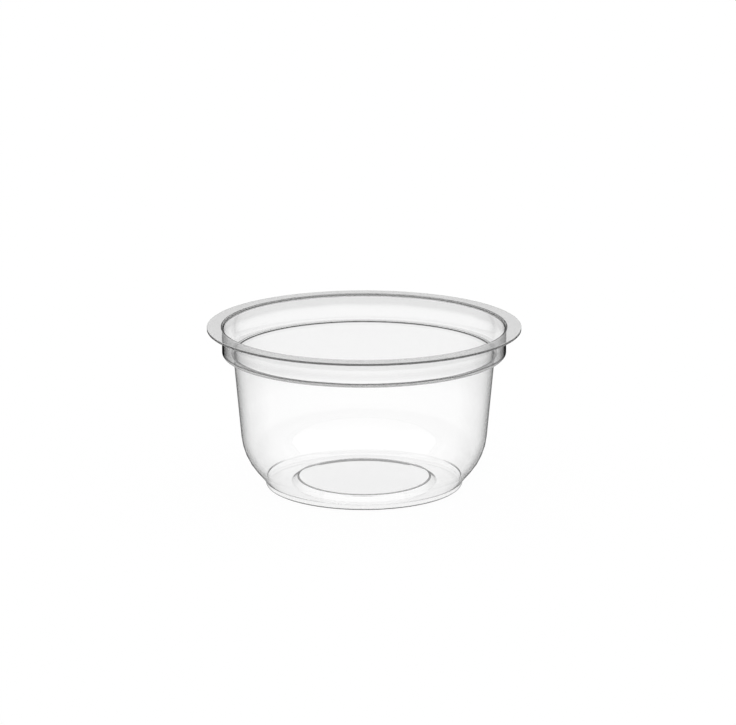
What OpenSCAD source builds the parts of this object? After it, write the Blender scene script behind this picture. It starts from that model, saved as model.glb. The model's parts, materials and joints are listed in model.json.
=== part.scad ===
// Clear dessert cup, formed in one piece from a thin plastic sheet.
// One line through the sheet, turned about the upright axis, gives the whole cup.
// The origin is the middle of the circle that the cup stands on, with +Z up.

/* [Rim] */
// Outside diameter of the flat rim
rim_d = 95; // [70:0.5:120]
// Width of the flat rim, from its outer edge in to the collar's outside
rim_w = 4.5; // [3:0.1:7]
// Thickness of the rim, which keeps more of the sheet than the walls do
rim_t = 0.8; // [0.5:0.05:1.2]
// Height of the rim's top face over the table
cup_h = 49.4; // [38:0.2:80]

/* [Collar and ledge] */
// Depth from the rim's top face down to the top of the ledge
collar_h = 8; // [5:0.1:12]
// Width of the ledge, from the collar's outside in to the bowl's outside
ledge_w = 3.35; // [2.2:0.05:5]

/* [Bowl] */
// Thickness of the walls, the ledge and the base
wall = 0.5; // [0.3:0.05:0.8]
// Lean of the bowl's upper wall from upright, in degrees
wall_lean = 5; // [2:0.5:8]
// Lean of the bowl's lower wall from upright, in degrees
belly_lean = 40; // [34:0.5:48]
// Inside radius of the round belly between the upper and the lower wall
belly_r = 17.5; // [8:0.5:21]

/* [Foot] */
// How far the foot's outside lies inside the bowl's widest outside, on each side
foot_inset = 9.65; // [8:0.05:12]
// Width of the flat ring that the cup stands on
ring_w = 8; // [4:0.1:11]
// Height of the foot's wall, up to the crease where the bowl begins
foot_h = 1.8; // [1.2:0.1:3]
// Lean of the foot's wall from upright, in degrees
foot_lean = 8; // [3:0.5:15]

/* [Raised middle] */
// Height of the raised disc's underside over the table
disc_h = 1.5; // [0.8:0.1:2.5]
// Lean of the disc's edge from upright, in degrees
disc_lean = 52; // [40:1:65]

/* [Bends] */
// Bend between the rim and the collar, on the tight side
rim_bend = 0.3; // [0.1:0.05:0.8]
// Bend between the collar and the ledge, on the tight side
collar_bend = 0.2; // [0.1:0.05:0.8]
// Bend between the ledge and the bowl, on the tight side
ledge_bend = 0.15; // [0.1:0.05:0.8]
// Bend at the crease between the bowl and the foot, on the tight side
crease_bend = 0.4; // [0.1:0.05:1]
// Bend between the foot's wall and the standing ring, on the tight side
foot_bend = 0.3; // [0.1:0.05:0.6]
// Bends at the top and the bottom of the raised middle's edge, on the tight side
disc_bend = 0.5; // [0.1:0.05:0.8]

/* [Hidden] */

// Most that a chord may stand off the bend that it follows
chord_sag = 0.008;
// Fewest chords in a bend
least_chords = 3;
// Facets of the turned surface
turn_facets = 240;

// Outside radii, from the rim inwards
rim_r = rim_d / 2;
collar_r = rim_r - rim_w;
bowl_r = collar_r - ledge_w;
foot_r = bowl_r - foot_inset;
crease_r = foot_r + foot_h * tan(foot_lean);
ring_r = foot_r - ring_w;
disc_r = ring_r - disc_h * tan(disc_lean);

// Heights of the sheet's underside at the rim and at the ledge
rim_under_z = cup_h - rim_t;
ledge_under_z = cup_h - collar_h - wall;

// The upper wall's line is r = upper_r + z * tan(wall_lean), and the lower wall's line leaves the crease
upper_r = bowl_r - ledge_under_z * tan(wall_lean);
belly_z = (upper_r - crease_r + foot_h * tan(belly_lean)) / (tan(belly_lean) - tan(wall_lean));
belly_corner_r = upper_r + belly_z * tan(wall_lean);

// Corners of the sheet's underside, from the middle of the base out to the rim's edge:
// [distance from the axis, height, bend on the tight side, thickness of the sheet after the corner]
under = [
    [0, disc_h, 0, wall],
    [disc_r, disc_h, disc_bend, wall],
    [ring_r, 0, disc_bend, wall],
    [foot_r, 0, foot_bend, wall],
    [crease_r, foot_h, crease_bend, wall],
    [belly_corner_r, belly_z, belly_r, wall],
    [bowl_r, ledge_under_z, ledge_bend, wall],
    [collar_r, ledge_under_z, collar_bend, wall],
    [collar_r, rim_under_z, rim_bend, rim_t],
    [rim_r, rim_under_z, 0, 0],
];
last = len(under) - 1;

// Direction of the straight stretch after corner i, as an angle
function heading(i) = atan2(under[i + 1][1] - under[i][1], under[i + 1][0] - under[i][0]);

// How far the sheet turns at corner i, positive towards the inside of the cup
function turn(i) = heading(i) - heading(i - 1);

// Unit vector from the underside to the top of the sheet, for a stretch at angle a
function across(a) = [-sin(a), cos(a)];

// The corner of the sheet's top that faces corner i of its underside: the point that lies
// one thickness over the line before the corner and one thickness over the line after it
function top_corner(i) =
    let (
        p = [under[i][0], under[i][1]],
        before = across(heading(i - 1)),
        after = across(heading(i)),
        c = before * after,
        t_before = under[i - 1][3],
        t_after = under[i][3]
    )
    p + ((t_before - t_after * c) * before + (t_after - t_before * c) * after) / (1 - c * c);

// Points of the bend at corner p: an arc of radius r that touches the lines before and after it
function bend(p, a, turned, r) =
    let (
        side = sign(turned),
        centre = p + (across(a) + across(a + turned)) * side * r / (1 + cos(turned)),
        chord = 2 * acos(1 - chord_sag / r),
        n = max(least_chords, ceil(abs(turned) / chord))
    )
    [for (k = [0:n]) centre - across(a + turned * k / n) * side * r];

// Underside of the sheet, from the axis out
under_line = [
    [0, disc_h],
    for (i = [1:last - 1])
        let (r = under[i][2] + (turn(i) > 0 ? wall : 0))
        each bend([under[i][0], under[i][1]], heading(i - 1), turn(i), r),
    [rim_r, rim_under_z],
];

// Top of the sheet, from the axis out: its bends have the same centres as the underside's
top_line = [
    [0, disc_h + wall],
    for (i = [1:last - 1])
        let (r = under[i][2] + (turn(i) > 0 ? 0 : wall))
        each bend(top_corner(i), heading(i - 1), turn(i), r),
    [rim_r, cup_h],
];

module sheet_section() {
    polygon(concat(under_line, [for (i = [len(top_line) - 1:-1:0]) top_line[i]]));
}

module cup() {
    color([0.94, 0.95, 0.95, 0.35])
        rotate_extrude($fn = turn_facets)
            sheet_section();
}

cup();
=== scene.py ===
"""Looks of a clear, thermoformed dessert cup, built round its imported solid.

The cup is one thin sheet turned about the upright axis. The frame gives its driving sizes, and the
sheet is worked out again here as one smooth surface, with the normals of its true bends.
"""

import json
import math

import bpy
import numpy as np
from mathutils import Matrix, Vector


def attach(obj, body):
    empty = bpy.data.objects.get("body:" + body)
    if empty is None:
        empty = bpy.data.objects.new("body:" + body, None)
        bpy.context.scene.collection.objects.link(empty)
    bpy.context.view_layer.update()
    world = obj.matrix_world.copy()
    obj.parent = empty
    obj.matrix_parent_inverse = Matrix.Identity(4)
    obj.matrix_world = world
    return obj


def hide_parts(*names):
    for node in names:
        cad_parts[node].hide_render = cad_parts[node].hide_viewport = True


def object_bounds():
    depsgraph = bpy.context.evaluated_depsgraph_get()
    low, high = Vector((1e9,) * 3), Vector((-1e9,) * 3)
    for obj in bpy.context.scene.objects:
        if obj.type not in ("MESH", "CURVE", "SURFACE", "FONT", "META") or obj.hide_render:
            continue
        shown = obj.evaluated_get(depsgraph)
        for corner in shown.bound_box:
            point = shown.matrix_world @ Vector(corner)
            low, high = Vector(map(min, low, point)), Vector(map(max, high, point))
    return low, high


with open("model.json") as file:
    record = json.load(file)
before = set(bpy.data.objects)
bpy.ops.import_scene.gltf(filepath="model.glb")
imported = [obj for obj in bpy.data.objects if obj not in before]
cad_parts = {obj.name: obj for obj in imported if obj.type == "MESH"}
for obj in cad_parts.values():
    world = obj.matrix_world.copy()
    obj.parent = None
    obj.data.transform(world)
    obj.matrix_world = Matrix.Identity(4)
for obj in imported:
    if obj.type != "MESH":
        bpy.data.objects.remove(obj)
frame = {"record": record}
CAD_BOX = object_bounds()

bl_info = {
    "name": "Clear Dessert Cup",
    "version": (1, 0, 0),
    "blender": (4, 5, 0),
    "location": "View3D > Sidebar > Dessert Cup",
    "description": "Adds a clear, thermoformed dessert cup and a pale studio round it",
    "category": "Add Mesh",
}

MM = 0.001
MOUNTS = {mount["name"]: mount for mount in frame["record"]["mounts"]}


def mount_radius(name):
    """Radius of a round mount, in metres."""
    return MOUNTS[name]["dims"]["r_mm"] * MM


RIM_RADIUS = CAD_BOX[1].x
CUP_HEIGHT = CAD_BOX[1].z
RIM_THICKNESS = MOUNTS["lid_edge"]["dims"]["length_mm"] * MM
COLLAR_RADIUS = mount_radius("carrier_seat")
WALL = COLLAR_RADIUS - mount_radius("insert_bore")
COLLAR_DEPTH = CUP_HEIGHT - MOUNTS["ledge"]["pos_m"][2]


def length(name, description, default):
    """A size in metres, shown in the scene's own unit."""
    return bpy.props.FloatProperty(
        name=name, description=description, default=default, min=0.0, unit="LENGTH", precision=5
    )


def angle(name, description, degrees):
    """An angle, given in degrees and kept in radians."""
    return bpy.props.FloatProperty(
        name=name, description=description, default=math.radians(degrees), subtype="ANGLE"
    )


def factor(name, description, default, most=1.0):
    """A plain number from 0 to its most."""
    return bpy.props.FloatProperty(name=name, description=description, default=default, min=0.0, max=most)


def colour(name, description, default):
    """A colour without alpha."""
    return bpy.props.FloatVectorProperty(
        name=name, description=description, default=default, size=3, min=0.0, max=1.0, subtype="COLOR"
    )


class CupSizes(bpy.types.PropertyGroup):
    """Driving sizes of the sheet, most of them the solid's own, and the fineness of its mesh."""

    rim_radius: length("Rim Radius", "Outside radius of the flat rim", RIM_RADIUS)
    rim_thickness: length("Rim Thickness", "Thickness of the rim", RIM_THICKNESS)
    height: length("Height", "Height of the rim's top face over the table", CUP_HEIGHT)
    collar_radius: length("Collar Radius", "Outside radius of the upright collar", COLLAR_RADIUS)
    collar_depth: length("Collar Depth", "From the rim's top face down to the ledge", COLLAR_DEPTH)
    ledge_width: length("Ledge Width", "From the collar's outside in to the bowl's outside", 3.35 * MM)
    wall: length("Wall", "Thickness of the walls, the ledge and the base", WALL)
    wall_lean: angle("Wall Lean", "Lean of the bowl's upper wall from upright", 5)
    belly_lean: angle("Belly Lean", "Lean of the bowl's lower wall from upright", 40)
    belly_radius: length("Belly Radius", "Inside radius of the belly's bend", 17.5 * MM)
    foot_inset: length("Foot Inset", "From the bowl's outside in to the foot's outside", 9.65 * MM)
    foot_height: length("Foot Height", "Height of the foot's wall, up to the crease", 1.8 * MM)
    foot_lean: angle("Foot Lean", "Lean of the foot's wall from upright", 8)
    ring_width: length("Ring Width", "Width of the flat ring that the cup stands on", 8 * MM)
    disc_height: length("Disc Height", "Height of the raised disc's underside", 1.5 * MM)
    disc_lean: angle("Disc Lean", "Lean of the raised disc's edge from upright", 52)
    rim_bend: length("Rim Bend", "Bend between the rim and the collar, tight side", 0.3 * MM)
    collar_bend: length("Collar Bend", "Bend between the collar and the ledge, tight side", 0.2 * MM)
    ledge_bend: length("Ledge Bend", "Bend between the ledge and the bowl, tight side", 0.15 * MM)
    crease_bend: length("Crease Bend", "Bend between the bowl and the foot, tight side", 0.4 * MM)
    foot_bend: length("Foot Bend", "Bend between the foot and the standing ring, tight side", 0.3 * MM)
    disc_bend: length("Disc Bend", "Bends of the raised disc's edge, tight side", 0.5 * MM)
    cut_bend: length("Cut Edge", "Rounding of the rim's cut edge", 0.1 * MM)
    # Lengths of the straight strips at the ledge's bend that carry its painted shade, a dark line, on down
    # the bowl and out over the ledge
    shade_down: length("Shade Down", "How far the ledge's dark bend reaches down the bowl", 0.6 * MM)
    shade_out: length("Shade Out", "How far the ledge's dark bend reaches out over the ledge", 0.4 * MM)
    facets: bpy.props.IntProperty(name="Facets", description="Facets round the axis", default=384, min=24)
    bend_step: angle("Bend Step", "Most that one chord of a bend turns", 9)


class SheetFinish(bpy.types.PropertyGroup):
    """Clear plastic."""

    tint: colour("Tint", "What the sheet lets through, seen face on", (0.995, 0.995, 0.995))
    refraction: factor("Refraction", "Index of refraction of clear polyester", 1.57, most=3.0)
    roughness: factor("Roughness", "Roughness of the formed surface", 0.005)
    wave_depth: length("Wave Depth", "Depth of the slow waves that forming leaves", 0.012 * MM)
    wave_scale: factor("Wave Scale", "Waves in a metre", 110.0, most=1000.0)
    wave_detail: factor("Wave Detail", "Layers of finer waves over the slow ones", 1.0, most=15.0)
    wave_roughness: factor("Wave Roughness", "Strength of each finer layer", 0.4)
    # The bands of tone that the ripple moves are the bands of painted shade by height
    ripple: length("Ripple", "How far the bands of tone wander up and down", 0.5 * MM)


class StudioSizes(bpy.types.PropertyGroup):
    """Camera, floor and lights."""

    camera_distance: length("Camera Distance", "From the camera to the point that it looks at", 0.916)
    camera_pitch: angle("Camera Pitch", "How far the camera looks down", 14.17)
    camera_lens: factor("Lens", "Focal length in millimetres", 147.7, most=500.0)
    camera_sensor: factor("Sensor", "Width of the sensor in millimetres", 36.0, most=100.0)
    camera_near: length("Camera Near", "Nearest distance that the camera sees", 0.01)
    camera_far: length("Camera Far", "Farthest distance that the camera sees", 50.0)
    aim_side: length("Aim Side", "How far right of the axis the camera looks", 1.18 * MM)
    aim_height: length("Aim Height", "Height over the table that the camera looks at", 37.75 * MM)
    floor_size: length("Floor Size", "Width of the floor", 12.0)
    floor_colour: colour("Floor Colour", "Colour of the floor under the lamp", (0.9, 0.9, 0.9))
    floor_glow: factor("Floor Glow", "Share of the floor's white that does not depend on the lamp", 0.97)
    world_strength: factor("World Strength", "Brightness of the room", 1.0, most=5.0)
    lamp_power: factor("Lamp Power", "Power of the soft lamp overhead, in watts", 6.0, most=1000.0)
    lamp_width: length("Lamp Width", "Width of the lamp, from side to side", 3.4)
    lamp_depth: length("Lamp Depth", "Depth of the lamp, from front to back", 2.8)
    lamp_back: length("Lamp Back", "How far behind the axis the lamp hangs", 0.6)
    lamp_height: length("Lamp Height", "Height of the lamp over the table", 1.3)


# Painted shade over the ledge's bend, as the shares kept, from the bowl's inside over the corner to the
# flat of the ledge: a dark line along the corner
LEDGE_TOP_SHADE = (1.0, 0.9, 0.9, 0.5, 0.15, 0.1, 0.1, 0.4, 0.9, 1.0, 1.0, 0.2)

# Each stretch and bend of the sheet from the axis out, with its painted shade. For its underside, then for
# its top: the shares that its painted shade keeps, darkest in lines along the bends, spread evenly from
# its inner to its outer end, and how strongly the painted edge-on shade darkens it
PAINTED_SHADE_ZONES = {
    "disc": ((1.0,), 1.0, (1.0,), 0.05),
    "disc_shoulder": ((0.03,), 1.0, (0.3,), 1.0),
    "disc_edge": ((0.03,), 1.0, (1.0,), 0.8),
    "disc_foot": ((0.03,), 1.0, (1.0,), 1.0),
    "ring": ((1.0,), 1.0, (1.0,), 0.2),
    "foot_bend": ((0.02, 0.04, 0.2, 1.0), 1.0, (1.0,), 1.0),
    "foot": ((1.0,), 0.5, (1.0,), 0.2),
    "crease": ((0.9,), 7.0, (1.0,), 15.0),
    "lower_wall": ((1.0,), 0.6, (1.0,), 0.6),
    "belly": ((1.0,), 1.0, (1.0,), 1.0),
    "upper_wall": ((1.0,), 1.0, (1.0,), 0.9),
    "ledge_bend": ((0.55, 0.1, 0.1, 1.0), 9.0, LEDGE_TOP_SHADE, 1.0),
    "ledge": ((1.0,), 1.0, (1.0,), 0.1),
    "collar_bend": ((0.7, 0.66, 0.5, 0.5), 0.3, (1.0,), 0.5),
    "collar": ((1.0,), 4.0, (1.0,), 0.15),
    "rim_bend": ((0.9,), 1.0, (0.6, 0.2, 0.4, 0.16), 1.5),
    "flange": ((1.0,), 1.0, (1.0,), 0.72),
}

# The same two values of painted shade for the lower bend, the face and the upper bend of the rim's cut
# edge, whose face is painted dark
CUT_EDGE_SHADE = (((0.7,), 1.0), ((0.2,), 1.0), ((0.6,), 1.0))

# Place of the ledge's bend among the bends from the axis out, which are every second zone
LEDGE_TURN = list(PAINTED_SHADE_ZONES)[1::2].index("ledge_bend")

# Fewest chords in a bend
LEAST_CHORDS = 4


def bend_points(corner, heading, turned, radius, step):
    """Points and normals of the bend at one corner of a line in the (r, z) plane.

    The bend is an arc of the given radius that touches the lines before and after the corner. Its
    centre lies on the corner's bisector, at the radius over the cosine of half the turn. The normal
    is the right-hand side of the line's direction, which turns evenly along the arc.
    """
    count = max(LEAST_CHORDS, math.ceil(abs(turned) / step))
    turns = heading + turned * np.linspace(0.0, 1.0, count + 1)
    normals = np.stack([np.sin(turns), -np.cos(turns)], axis=1)
    side = math.copysign(1.0, turned)
    bisector = normals[0] + normals[-1]
    centre = corner - bisector * side * radius / (1.0 + math.cos(turned))
    return centre + normals * side * radius, normals


def with_ends(points, normals, before, after):
    """The same bend with a straight strip at its start and at its end, of the given lengths.

    A strip runs on along the line that the bend touches, a quarter turn on from the normal there.
    """
    along = np.stack([-normals[:, 1], normals[:, 0]], axis=1)
    first = points[:1] - along[:1] * before
    last = points[-1:] + along[-1:] * after
    return np.concatenate([first, points, last]), np.concatenate([normals[:1], normals, normals[-1:]])


def sheet_corners(sizes):
    """Corners (r, z) of the sheet's underside from the axis out, each with its bend and the thickness of
    the sheet after it.

    The radii are worked out from the collar inwards. A leaning wall moves out by its height times the
    tangent of its lean. The belly's corner is where the lines of the upper and the lower wall meet.
    """
    wall = sizes.wall
    bowl_r = sizes.collar_radius - sizes.ledge_width
    foot_r = bowl_r - sizes.foot_inset
    crease_r = foot_r + sizes.foot_height * math.tan(sizes.foot_lean)
    ring_r = foot_r - sizes.ring_width
    disc_r = ring_r - sizes.disc_height * math.tan(sizes.disc_lean)
    rim_z = sizes.height - sizes.rim_thickness
    ledge_z = sizes.height - sizes.collar_depth - wall
    upper, lower = math.tan(sizes.wall_lean), math.tan(sizes.belly_lean)
    upper_r = bowl_r - ledge_z * upper
    belly_z = (upper_r - crease_r + sizes.foot_height * lower) / (lower - upper)
    corners = (
        (0.0, sizes.disc_height, 0.0, wall),
        (disc_r, sizes.disc_height, sizes.disc_bend, wall),
        (ring_r, 0.0, sizes.disc_bend, wall),
        (foot_r, 0.0, sizes.foot_bend, wall),
        (crease_r, sizes.foot_height, sizes.crease_bend, wall),
        (upper_r + belly_z * upper, belly_z, sizes.belly_radius, wall),
        (bowl_r, ledge_z, sizes.ledge_bend, wall),
        (sizes.collar_radius, ledge_z, sizes.collar_bend, wall),
        (sizes.collar_radius, rim_z, sizes.rim_bend, sizes.rim_thickness),
        (sizes.rim_radius, rim_z, 0.0, 0.0),
    )
    return np.array(corners)


def sheet_outline(sizes):
    """Closed section of the sheet: points (r, z) and outward normals, from the axis along the underside,
    over the rim's cut edge and back along the top, and the values of the strips between the points, which
    carry the painted shade.

    The top's corners are the underside's, moved one thickness over the lines before and after them, and
    both skins share the centre of each bend.
    """
    corners = sheet_corners(sizes)
    places, bends, thick = corners[:, :2], corners[:, 2], corners[:, 3]
    runs = np.diff(places, axis=0)
    headings = np.arctan2(runs[:, 1], runs[:, 0])
    turns = np.diff(headings)
    over = np.stack([-np.sin(headings), np.cos(headings)], axis=1)
    meet = np.sum(over[:-1] * over[1:], axis=1)
    before, after = thick[:-2], thick[1:-1]
    shift_before = (before - after * meet) / (1.0 - meet**2)
    shift_after = (after - before * meet) / (1.0 - meet**2)
    tops = places[1:-1] + shift_before[:, None] * over[:-1] + shift_after[:, None] * over[1:]

    under, top = [], []
    for i, turned in enumerate(turns):
        tight, wide = bends[i + 1], bends[i + 1] + sizes.wall
        outer_radius, inner_radius = (wide, tight) if turned > 0.0 else (tight, wide)
        outer = bend_points(places[i + 1], headings[i], turned, outer_radius, sizes.bend_step)
        inner = bend_points(tops[i], headings[i], turned, inner_radius, sizes.bend_step)
        # The ledge's bend gets a straight strip at each end to carry its painted shade a little way on;
        # the form stays the same
        if i == LEDGE_TURN:
            outer = with_ends(*outer, sizes.shade_down, sizes.shade_out)
            inner = with_ends(*inner, sizes.shade_down, sizes.shade_out)
        under.append(outer)
        top.append((inner[0], -inner[1]))

    square = math.pi / 2
    low_edge = bend_points(places[-1], headings[-1], square, sizes.cut_bend, sizes.bend_step)
    high_corner = places[-1] + np.array([0.0, sizes.rim_thickness])
    high_edge = bend_points(high_corner, headings[-1] + square, square, sizes.cut_bend, sizes.bend_step)
    axis_under = (places[:1], np.array([[0.0, -1.0]]))
    axis_top = (places[:1] + np.array([[0.0, sizes.wall]]), np.array([[0.0, 1.0]]))
    back = [(points[::-1], normals[::-1]) for points, normals in reversed(top)]
    parts = [axis_under, *under, low_edge, high_edge, *back, axis_top]
    points = np.concatenate([part[0] for part in parts])
    normals = np.concatenate([part[1] for part in parts])
    return points, normals, strip_zones(parts)


def strip_zones(parts):
    """For each strip between neighbouring points of the outline, the share kept by its painted shade, how
    strongly the painted edge-on shade darkens it, and 1 where it faces the inside of the cup.

    The parts are the two ends on the axis and the bends between them. A bend has one strip for each chord,
    and the ledge's bend one more at each end. Between two parts lies one straight strip. A zone's shares
    are read at the middle of each of its strips, along straight lines from share to share.
    """
    under = [(levels, gain, 0.0) for levels, gain, _, _ in PAINTED_SHADE_ZONES.values()]
    cut = [(levels, gain, 0.0) for levels, gain in CUT_EDGE_SHADE]
    top = [(levels[::-1], gain, 1.0) for _, _, levels, gain in reversed(PAINTED_SHADE_ZONES.values())]
    counts = [1] + [count for points, _ in parts[1:-1] for count in (len(points) - 1, 1)]
    kept, gains, inner = [], [], []
    for (levels, gain, skin), count in zip(under + cut + top, counts):
        along = (np.arange(count) + 0.5) / count
        kept.append(np.interp(along, np.linspace(0.0, 1.0, len(levels)), levels))
        gains.append(np.full(count, gain))
        inner.append(np.full(count, skin))
    return {
        "kept_light": np.concatenate(kept),
        "edge_gain": np.concatenate(gains),
        "inner_skin": np.concatenate(inner),
    }


def turned_mesh(name, outline, normals, zones, facets):
    """Mesh of an outline (r, z) turned about the upright axis, with the outline's own normals.

    A point at distance r and height z goes to (r cos a, r sin a, z) for each angle a round the axis.
    The first and the last point lie on the axis, and each closes its end with a fan of triangles.
    Each of the zones' values becomes an attribute of the faces that its strip sweeps: first the strips of
    quads, from the axis out and back, then the fan of the first strip and the fan of the last.
    """
    turns = 2.0 * math.pi * np.arange(facets) / facets
    around = np.stack([np.cos(turns), np.sin(turns)], axis=1)
    rings, ring_normals = outline[1:-1], normals[1:-1]
    count = len(rings)

    def spread(flat):
        """Each pair (along r, along z) of flat, at each angle round the axis."""
        level = flat[:, None, :1] * around[None, :, :]
        up = np.broadcast_to(flat[:, None, 1:], (len(flat), facets, 1))
        return np.concatenate([level, up], axis=2).reshape(-1, 3)

    poles = np.array([[0.0, 0.0, outline[0, 1]], [0.0, 0.0, outline[-1, 1]]])
    points = np.concatenate([spread(rings), poles])
    pole_normals = np.array([[0.0, 0.0, normals[0, 1]], [0.0, 0.0, normals[-1, 1]]])
    point_normals = np.concatenate([spread(ring_normals), pole_normals])

    here = np.arange(facets)
    ahead = (here + 1) % facets
    rows = np.arange(count - 1)[:, None] * facets
    quads = np.stack([rows + here, rows + ahead, rows + facets + ahead, rows + facets + here], axis=2)
    quads = quads.reshape(-1, 4)
    first, last = count * facets, count * facets + 1
    end = (count - 1) * facets
    low_fan = np.stack([np.full(facets, first), ahead, here], axis=1)
    high_fan = np.stack([np.full(facets, last), end + here, end + ahead], axis=1)
    fans = np.concatenate([low_fan, high_fan])

    corner_points = np.concatenate([quads.ravel(), fans.ravel()])
    sides = np.concatenate([np.full(len(quads), 4), np.full(len(fans), 3)])
    starts = np.concatenate([[0], np.cumsum(sides)[:-1]])
    mesh = bpy.data.meshes.new(name)
    mesh.vertices.add(len(points))
    mesh.vertices.foreach_set("co", points.astype(np.float32).ravel())
    mesh.loops.add(len(corner_points))
    mesh.loops.foreach_set("vertex_index", corner_points.astype(np.int32))
    mesh.polygons.add(len(sides))
    mesh.polygons.foreach_set("loop_start", starts.astype(np.int32))
    mesh.update(calc_edges=True)
    mesh.validate()
    mesh.shade_smooth()
    mesh.normals_split_custom_set_from_vertices(point_normals)
    for key, strips in zones.items():
        values = np.repeat(np.concatenate([strips[1:-1], strips[:1], strips[-1:]]), facets)
        mesh.attributes.new(key, "FLOAT", "FACE").data.foreach_set("value", values.astype(np.float32))
    return mesh


def add_node(tree, kind, **inputs):
    """A shader node with the given plain input values, by socket name."""
    node = tree.nodes.new(kind)
    for key, value in inputs.items():
        node.inputs[key.replace("_", " ")].default_value = value
    return node


def add_math(tree, operation, *values):
    """Output of a Math node, whose inputs are plain numbers or other nodes' outputs."""
    node = tree.nodes.new("ShaderNodeMath")
    node.operation = operation
    for socket, value in zip(node.inputs, values):
        if isinstance(value, bpy.types.NodeSocket):
            tree.links.new(value, socket)
        else:
            socket.default_value = value
    return node.outputs[0]


def zone_value(tree, name):
    """One of the values that the sheet's faces carry."""
    node = tree.nodes.new("ShaderNodeAttribute")
    node.attribute_name = name
    return node.outputs["Fac"]


def grey(level):
    """An opaque grey."""
    return (level, level, level, 1.0)


def level_ramp(tree, stops):
    """A colour ramp of plain greys, through (position, level) stops."""
    ramp = tree.nodes.new("ShaderNodeValToRGB")
    elements = ramp.color_ramp.elements
    first, last = elements[0], elements[-1]
    first.color, last.color = grey(stops[0][1]), grey(stops[-1][1])
    first.position, last.position = stops[0][0], stops[-1][0]
    for position, level in stops[1:-1]:
        elements.new(position).color = grey(level)
    return ramp


# Painted shade by how far the sheet is seen edge on, given as the share of the light that one pass through
# the sheet keeps: 0 is face on. It paints the sheet darker towards its outlines
EDGE_SHADE_STOPS = (
    (0.0, 1.0),
    (0.36, 0.993),
    (0.42, 0.978),
    (0.53, 0.947),
    (0.61, 0.92),
    (0.65, 0.895),
    (0.714, 0.84),
    (0.74, 0.785),
    (0.77, 0.735),
    (0.8, 0.68),
    (0.83, 0.56),
    (0.86, 0.3),
    (0.92, 0.16),
    (1.0, 0.05),
)

# Painted shade by height in metres on the inner and the outer skin, as the share kept: darker on the
# inside of the bowl's upper wall and faintly on the collar, in a band on the collar under the rim's
# overhang on both skins, and on the outer skin in a dark line round the collar, just above the ledge
INNER_PAINTED_SHADE = (
    (0.0, 1.0),
    (0.021, 1.0),
    (0.028, 0.924),
    (0.041, 0.924),
    (0.042, 0.94),
    (0.044, 0.95),
    (0.045, 0.935),
    (0.0456, 0.91),
    (0.0462, 0.83),
    (0.0466, 0.79),
    (0.0484, 0.785),
    (0.0486, 1.0),
)
OUTER_PAINTED_SHADE = (
    (0.0, 1.0),
    (0.0416, 1.0),
    (0.0418, 0.6),
    (0.0419, 0.4),
    (0.0422, 0.4),
    (0.0423, 0.98),
    (0.0428, 0.98),
    (0.0432, 0.93),
    (0.044, 0.9),
    (0.0446, 0.92),
    (0.0453, 0.965),
    (0.0459, 0.98),
    (0.0462, 0.885),
    (0.0474, 0.87),
    (0.0476, 1.0),
)


# Light that has been reflected more often than this is caught in the sheet
MOST_REFLECTIONS = 2.0


def painted_edge_shade(tree):
    """Painted shade by how far a face is seen edge on: the share kept, to the power of the face's own
    gain.

    With a blend of a half, Facing is one less the cosine of the angle from face on.
    """
    edge = add_node(tree, "ShaderNodeLayerWeight", Blend=0.5)
    falloff = level_ramp(tree, EDGE_SHADE_STOPS)
    tree.links.new(edge.outputs["Facing"], falloff.inputs["Fac"])
    return add_math(tree, "POWER", falloff.outputs["Color"], zone_value(tree, "edge_gain"))


def painted_height_shade(tree, upward, waves, ripple):
    """Painted shade by height, as the share kept, for the skin that a face is on.

    The height is a share of the cup's, and the waves move it up or down, by half the ripple at most.
    """
    wander = add_math(tree, "MULTIPLY_ADD", waves, ripple, upward)
    height = add_math(tree, "MULTIPLY_ADD", wander, 1.0 / CUP_HEIGHT, -ripple / 2 / CUP_HEIGHT)
    skin_shades = tree.nodes.new("ShaderNodeMix")
    tree.links.new(zone_value(tree, "inner_skin"), skin_shades.inputs["Factor"])
    for socket, stops in (("A", OUTER_PAINTED_SHADE), ("B", INNER_PAINTED_SHADE)):
        ramp = level_ramp(tree, [(z / CUP_HEIGHT, level) for z, level in stops])
        tree.links.new(height, ramp.inputs["Fac"])
        tree.links.new(ramp.outputs["Color"], skin_shades.inputs[socket])
    return skin_shades.outputs["Result"]


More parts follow.
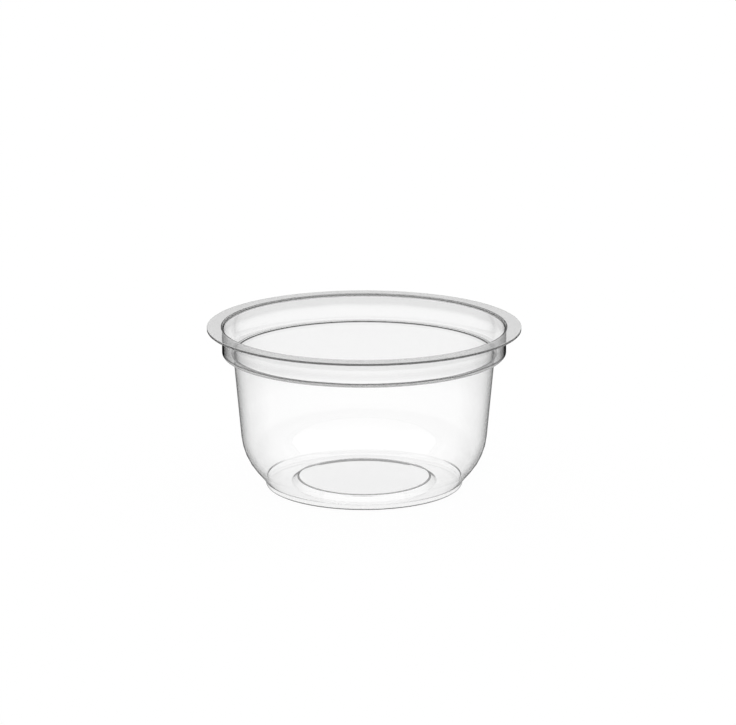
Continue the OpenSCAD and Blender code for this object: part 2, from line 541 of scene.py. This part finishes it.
def clear_plastic(finish):
    """Clear sheet: bends light as polyester does, with painted shade mixed in as black where it is seen
    edge on, along its bends and in bands by height.

    The share kept on the way into the sheet is the painted shade by angle, times the face's own painted
    shade, times the painted shade by height. On the way out, all is kept. Light that is caught in the
    sheet goes straight on, so it is not lost.
    """
    material = bpy.data.materials.new("clear_plastic")
    material.use_nodes = True
    tree = material.node_tree
    tree.nodes.clear()
    link = tree.links.new
    place = tree.nodes.new("ShaderNodeTexCoord")
    waves = add_node(
        tree,
        "ShaderNodeTexNoise",
        Scale=finish.wave_scale,
        Detail=finish.wave_detail,
        Roughness=finish.wave_roughness,
    )
    bump = add_node(tree, "ShaderNodeBump", Strength=1.0, Distance=finish.wave_depth)
    link(place.outputs["Object"], waves.inputs["Vector"])
    link(waves.outputs["Fac"], bump.inputs["Height"])

    glass = add_node(
        tree,
        "ShaderNodeBsdfPrincipled",
        Base_Color=(*finish.tint, 1.0),
        IOR=finish.refraction,
        Transmission_Weight=1.0,
        Roughness=finish.roughness,
    )
    link(bump.outputs["Normal"], glass.inputs["Normal"])
    path = tree.nodes.new("ShaderNodeLightPath")
    caught = add_math(tree, "GREATER_THAN", path.outputs["Glossy Depth"], MOST_REFLECTIONS)
    straight = tree.nodes.new("ShaderNodeBsdfTransparent")
    freed = tree.nodes.new("ShaderNodeMixShader")
    link(caught, freed.inputs["Fac"])
    link(glass.outputs["BSDF"], freed.inputs[1])
    link(straight.outputs["BSDF"], freed.inputs[2])

    split = tree.nodes.new("ShaderNodeSeparateXYZ")
    link(place.outputs["Object"], split.inputs["Vector"])
    tone = painted_height_shade(tree, split.outputs["Z"], waves.outputs["Fac"], finish.ripple)
    zoned = add_math(tree, "MULTIPLY", painted_edge_shade(tree), zone_value(tree, "kept_light"))
    toned = add_math(tree, "MULTIPLY", zoned, tone)
    face = tree.nodes.new("ShaderNodeNewGeometry")
    kept = add_math(tree, "MAXIMUM", toned, face.outputs["Backfacing"])

    # Black that the painted shade mixes into the sheet
    dark = add_node(tree, "ShaderNodeBsdfTransparent", Color=grey(0.0))
    mix = tree.nodes.new("ShaderNodeMixShader")
    output = tree.nodes.new("ShaderNodeOutputMaterial")
    link(kept, mix.inputs["Fac"])
    link(dark.outputs["BSDF"], mix.inputs[1])
    link(freed.outputs["Shader"], mix.inputs[2])
    link(mix.outputs["Shader"], output.inputs["Surface"])
    return material


def white_for_sight(tree):
    """1 for rays from the camera, mirrors and glass, and 0 for the light that falls on the object."""
    path = tree.nodes.new("ShaderNodeLightPath")
    mirrored = add_math(tree, "MAXIMUM", path.outputs["Is Camera Ray"], path.outputs["Is Glossy Ray"])
    return add_math(tree, "MAXIMUM", mirrored, path.outputs["Is Transmission Ray"])


def floor_white(studio):
    """White floor that still takes the cup's faint shadow."""
    material = bpy.data.materials.new("floor_white")
    material.use_nodes = True
    tree = material.node_tree
    tree.nodes.clear()
    link = tree.links.new
    output = tree.nodes.new("ShaderNodeOutputMaterial")
    glow = add_node(tree, "ShaderNodeEmission", Color=grey(1.0), Strength=1.0)
    matt = add_node(tree, "ShaderNodeBsdfDiffuse", Color=(*studio.floor_colour, 1.0))
    mix = tree.nodes.new("ShaderNodeMixShader")
    link(add_math(tree, "MULTIPLY", white_for_sight(tree), studio.floor_glow), mix.inputs["Fac"])
    link(matt.outputs["BSDF"], mix.inputs[1])
    link(glow.outputs["Emission"], mix.inputs[2])
    link(mix.outputs["Shader"], output.inputs["Surface"])
    return material


# Brightness of the room, by the height of the direction: 0 is the horizon and 1 is straight up
ROOM_LEVELS = ((0.0, 1.0), (0.09, 1.0), (0.16, 0.68), (0.3, 0.68), (0.8, 1.2))


def room_light(studio):
    """The room by height: white up to just over the horizon, a grey band, and brightest overhead.

    The ramp holds each level as a share of the brightest one, which goes into the strength.
    """
    world = bpy.data.worlds.new("room")
    world.use_nodes = True
    tree = world.node_tree
    tree.nodes.clear()
    output = tree.nodes.new("ShaderNodeOutputWorld")
    brightest = max(level for _, level in ROOM_LEVELS)
    background = add_node(tree, "ShaderNodeBackground", Strength=studio.world_strength * brightest)
    place = tree.nodes.new("ShaderNodeTexCoord")
    split = tree.nodes.new("ShaderNodeSeparateXYZ")
    ramp = level_ramp(tree, [(height, level / brightest) for height, level in ROOM_LEVELS])
    tree.links.new(place.outputs["Generated"], split.inputs["Vector"])
    tree.links.new(split.outputs["Z"], ramp.inputs["Fac"])
    tree.links.new(ramp.outputs["Color"], background.inputs["Color"])
    tree.links.new(background.outputs["Background"], output.inputs["Surface"])
    return world


def add_piece(name, mesh, material):
    """A new object at the origin with one material."""
    piece = bpy.data.objects.new(name, mesh)
    bpy.context.scene.collection.objects.link(piece)
    mesh.materials.append(material)
    return piece


class CUP_OT_add_sheet(bpy.types.Operator):
    """Add the cup, one clear sheet from the raised disc to the rim"""

    bl_idname = "dessert_cup.add_sheet"
    bl_label = "Add Cup"

    def execute(self, context):
        sizes = context.scene.cup_sizes
        outline, normals, zones = sheet_outline(sizes)
        mesh = turned_mesh("cup_sheet", outline, normals, zones, sizes.facets)
        sheet = add_piece("cup_sheet", mesh, clear_plastic(context.scene.cup_finish))
        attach(sheet, "root")
        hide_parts("cup")
        return {"FINISHED"}


class CUP_OT_set_stage(bpy.types.Operator):
    """Add the floor, the room's light, the lamp and the camera"""

    bl_idname = "dessert_cup.set_stage"
    bl_label = "Set Stage"

    def execute(self, context):
        scene, studio = context.scene, context.scene.cup_studio
        half = studio.floor_size / 2
        corners = [(-half, -half, 0.0), (half, -half, 0.0), (half, half, 0.0), (-half, half, 0.0)]
        mesh = bpy.data.meshes.new("floor")
        mesh.from_pydata(corners, [], [(0, 1, 2, 3)])
        floor = add_piece("floor", mesh, floor_white(studio))
        scene.world = room_light(studio)

        lamp = bpy.data.lights.new("soft_lamp", "AREA")
        lamp.shape = "RECTANGLE"
        lamp.size, lamp.size_y = studio.lamp_width, studio.lamp_depth
        lamp.energy = studio.lamp_power
        lamp_object = bpy.data.objects.new("soft_lamp", lamp)
        lamp_object.location = (0.0, studio.lamp_back, studio.lamp_height)
        scene.collection.objects.link(lamp_object)

        aim = Vector((studio.aim_side, 0.0, studio.aim_height))
        pitch = studio.camera_pitch
        back = Vector((0.0, -math.cos(pitch), math.sin(pitch)))
        camera = bpy.data.cameras.new("camera")
        camera.lens = studio.camera_lens
        camera.sensor_width = studio.camera_sensor
        camera.clip_start, camera.clip_end = studio.camera_near, studio.camera_far
        camera_object = bpy.data.objects.new("camera", camera)
        camera_object.location = aim + back * studio.camera_distance
        camera_object.rotation_euler = (math.pi / 2 - pitch, 0.0, 0.0)
        scene.collection.objects.link(camera_object)
        scene.camera = camera_object
        scene.view_settings.view_transform = "Standard"
        return {"FINISHED"}


class CUP_PT_panel(bpy.types.Panel):
    """Lists the cup's operators in the sidebar."""

    bl_idname = "CUP_PT_panel"
    bl_label = "Dessert Cup"
    bl_space_type = "VIEW_3D"
    bl_region_type = "UI"
    bl_category = "Dessert Cup"

    def draw(self, context):
        for operator in OPERATORS:
            self.layout.operator(operator.bl_idname)


GROUPS = {"cup_sizes": CupSizes, "cup_finish": SheetFinish, "cup_studio": StudioSizes}
OPERATORS = (CUP_OT_add_sheet, CUP_OT_set_stage)
CLASSES = (*GROUPS.values(), *OPERATORS, CUP_PT_panel)


def register():
    """Registers the classes and puts the settings on the scene."""
    for cls in CLASSES:
        bpy.utils.register_class(cls)
    for name, group in GROUPS.items():
        setattr(bpy.types.Scene, name, bpy.props.PointerProperty(type=group))


def unregister():
    """Takes the settings and the classes away again."""
    for name in GROUPS:
        delattr(bpy.types.Scene, name)
    for cls in reversed(CLASSES):
        bpy.utils.unregister_class(cls)


def main():
    """Registers the add-on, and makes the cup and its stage."""
    register()
    bpy.ops.dessert_cup.add_sheet()
    bpy.ops.dessert_cup.set_stage()


if __name__ == "__main__":
    main()
